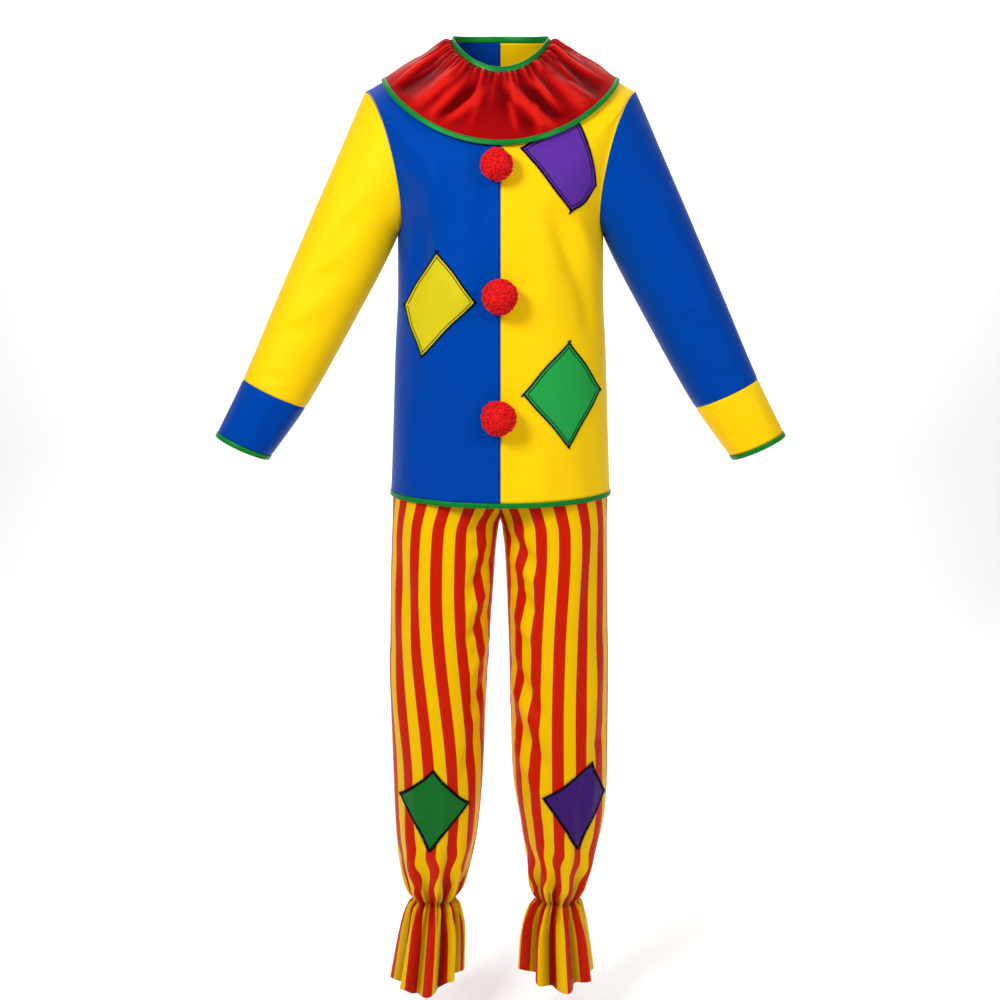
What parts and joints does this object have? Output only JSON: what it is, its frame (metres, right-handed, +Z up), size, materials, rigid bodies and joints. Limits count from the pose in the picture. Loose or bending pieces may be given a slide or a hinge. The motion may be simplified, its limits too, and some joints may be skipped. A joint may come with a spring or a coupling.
{
  "type": "clown costume, tunic and trousers",
  "caption": "Worn clown costume: long two-colour tunic with gathered red collar, pom-poms and lozenge patches, over striped trousers drawn in at the ankle with a frill.",
  "frame": {"origin": "on the neckline at the height of the side of the neck, midway between the shoulders, where the wearer's shoulders hold it", "axes": "+Z up, front faces -Y, the wearer's left is +X"},
  "size_m": [0.8412, 0.2792, 1.4396],
  "materials": {
    "blue_cloth": "satin woven polyester, royal blue",
    "yellow_cloth": "satin woven polyester, bright yellow",
    "striped_cloth": "satin woven polyester, vertical red and yellow stripes",
    "red_velvet": "stretch velour with a soft nap, gathered",
    "green_binding": "satin bias binding, folded and stitched",
    "patch_purple": "woven patch with black edge stitching",
    "patch_green": "woven patch with black edge stitching",
    "patch_yellow": "woven patch with black edge stitching",
    "pompom_yarn": "curly acrylic yarn"
  },
  "bodies": {
    "root": {"tunic_front_right": "blue_cloth", "tunic_front_left": "yellow_cloth", "tunic_back_right": "blue_cloth", "tunic_back_left": "yellow_cloth", "hem_binding": "green_binding", "sleeve_right": "yellow_cloth", "cuff_right": "blue_cloth", "cuff_binding_right": "green_binding", "sleeve_left": "blue_cloth", "cuff_left": "yellow_cloth", "cuff_binding_left": "green_binding", "collar": "red_velvet", "collar_binding": "green_binding", "neck_binding": "green_binding", "pompom_top": "pompom_yarn", "pompom_middle": "pompom_yarn", "pompom_bottom": "pompom_yarn", "trouser_front_right": "striped_cloth", "trouser_back_right": "striped_cloth", "trouser_front_left": "striped_cloth", "trouser_back_left": "striped_cloth", "waistband": "striped_cloth", "patch_chest": "patch_purple", "patch_waist_right": "patch_yellow", "patch_waist_left": "patch_green", "patch_knee_right": "patch_green", "patch_knee_left": "patch_purple"}
  },
  "joints": []
}
